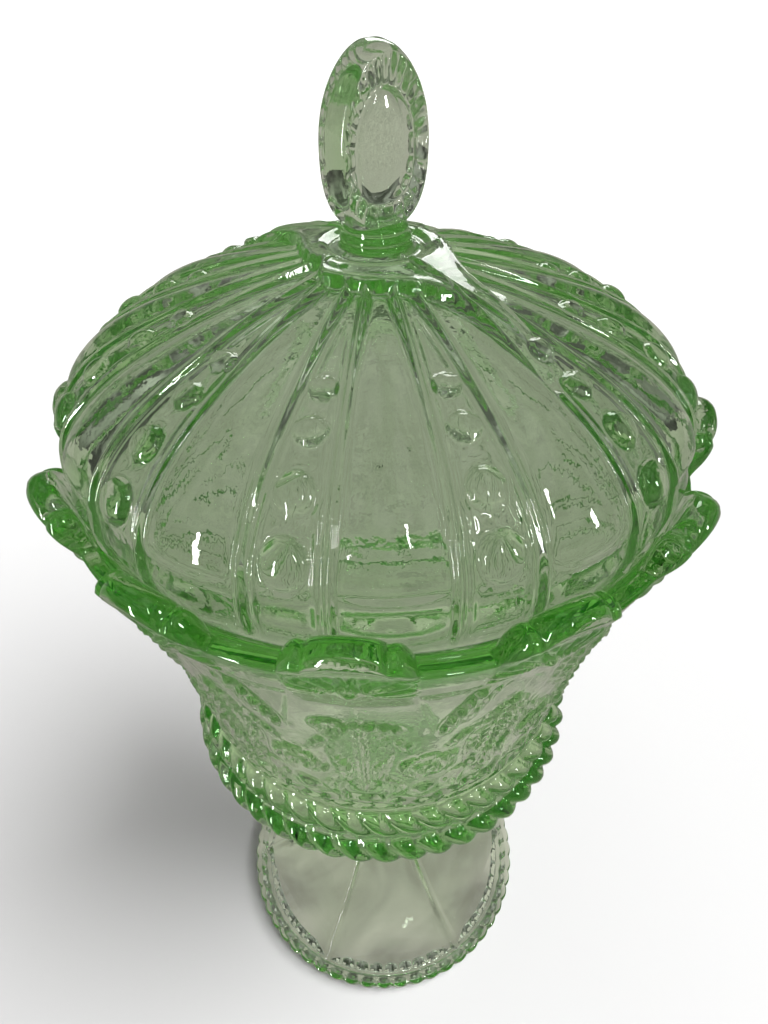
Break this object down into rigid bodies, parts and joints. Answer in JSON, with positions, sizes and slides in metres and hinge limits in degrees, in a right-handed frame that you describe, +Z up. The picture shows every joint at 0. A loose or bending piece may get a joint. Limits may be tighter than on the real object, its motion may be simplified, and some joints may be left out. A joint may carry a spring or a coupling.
{
  "type": "covered candy dish",
  "caption": "Footed green glass candy dish with a lift-off domed lid, flat oval finial, upstanding rim tabs and twisted rope bands.",
  "frame": {"origin": "centre of the foot's underside, on the surface it stands on", "axes": "+Z up, through the middle of the lid's finial; -Y to the front"},
  "size_m": [0.1412, 0.1412, 0.268],
  "materials": {
    "green_glass": "fire-polished pressed glass"
  },
  "bodies": {
    "dish": {"foot": "green_glass", "stem": "green_glass", "bowl": "green_glass", "lower_rope_ring": "green_glass", "upper_rope_ring": "green_glass", "rim_medallions": "green_glass"},
    "lid": {"lid_dome": "green_glass", "lid_ribs": "green_glass", "lid_beads": "green_glass", "lid_crown": "green_glass", "finial_neck": "green_glass", "finial": "green_glass", "finial_cabochons": "green_glass"}
  },
  "joints": [
    {"name": "lid_lift", "type": "slide", "parent": "dish", "child": "lid", "axis": [0, 0, 1], "range_m": [0, 0.12]}
  ]
}
